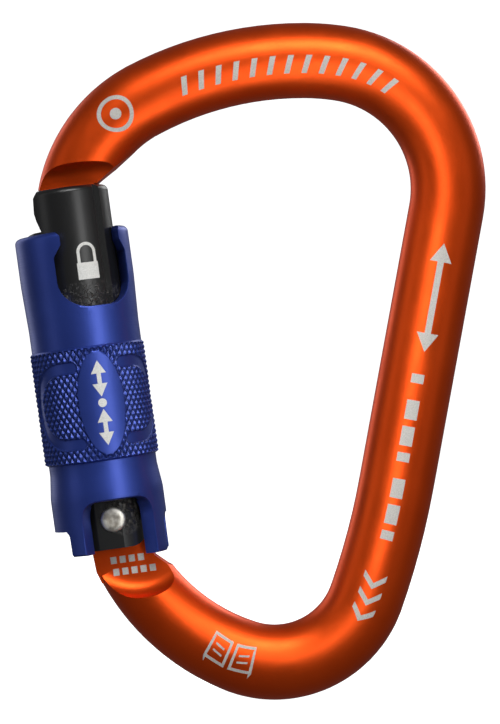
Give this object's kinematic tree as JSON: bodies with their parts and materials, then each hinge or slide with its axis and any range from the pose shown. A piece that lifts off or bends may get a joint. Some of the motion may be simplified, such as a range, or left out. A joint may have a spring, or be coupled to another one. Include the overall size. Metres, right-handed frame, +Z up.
{
  "type": "locking carabiner",
  "caption": "Pear-shaped locking carabiner with a sprung swinging gate, keyed nose and a sleeve that slides and twists on the gate.",
  "frame": {"origin": "inside of the upper basket, where the rope or anchor bears, midway through the thickness", "axes": "+Z up along the load line, +X from the gate towards the spine, +Y through the thickness, away from the front face"},
  "size_m": [0.0824, 0.02, 0.1185],
  "materials": {
    "frame_anodised_orange": "satin anodised orange",
    "sleeve_anodised_blue": "satin anodised blue, knurled grip",
    "gate_anodised_black": "satin anodised black",
    "rivet_steel": "bright peened steel",
    "spring_steel": "drawn wire",
    "acetal": "moulded acetal"
  },
  "bodies": {
    "frame": {"body": "frame_anodised_orange"},
    "gate": {"gate": "gate_anodised_black", "hinge_rivet": "rivet_steel", "gate_spring": "spring_steel", "sleeve_spring": "spring_steel"},
    "plunger": {"gate_plunger": "acetal"},
    "slider": {"slider_ring": "acetal", "guide_pin": "rivet_steel"},
    "sleeve": {"locking_sleeve": "sleeve_anodised_blue", "snap_ring": "spring_steel"}
  },
  "joints": [
    {"name": "gate_hinge", "type": "hinge", "parent": "frame", "child": "gate", "pos_m": [-0.033, 0, -0.0734], "axis": [0, 1, 0], "range_deg": [0, 28], "stiffness_Nm_per_rad": 0.3, "springref_deg": -68.75},
    {"name": "plunger_slide", "type": "slide", "parent": "gate", "child": "plunger", "axis": [-0.1374, 0, 0.9905], "range_m": [0, 0.0007], "deforming": ["gate_spring"]},
    {"name": "sleeve_slide", "type": "slide", "parent": "gate", "child": "slider", "axis": [-0.1374, 0, 0.9905], "range_m": [0, 0.0042]},
    {"name": "sleeve_twist", "type": "hinge", "parent": "slider", "child": "sleeve", "pos_m": [-0.03374, 0, -0.0735], "axis": [-0.1374, 0, 0.9905], "range_deg": [-115, 65], "stiffness_Nm_per_rad": 0.02}
  ],
  "couplings": [
    {"joint": "plunger_slide", "follows": "gate_hinge", "m_per_rad": 0.00125}
  ]
}
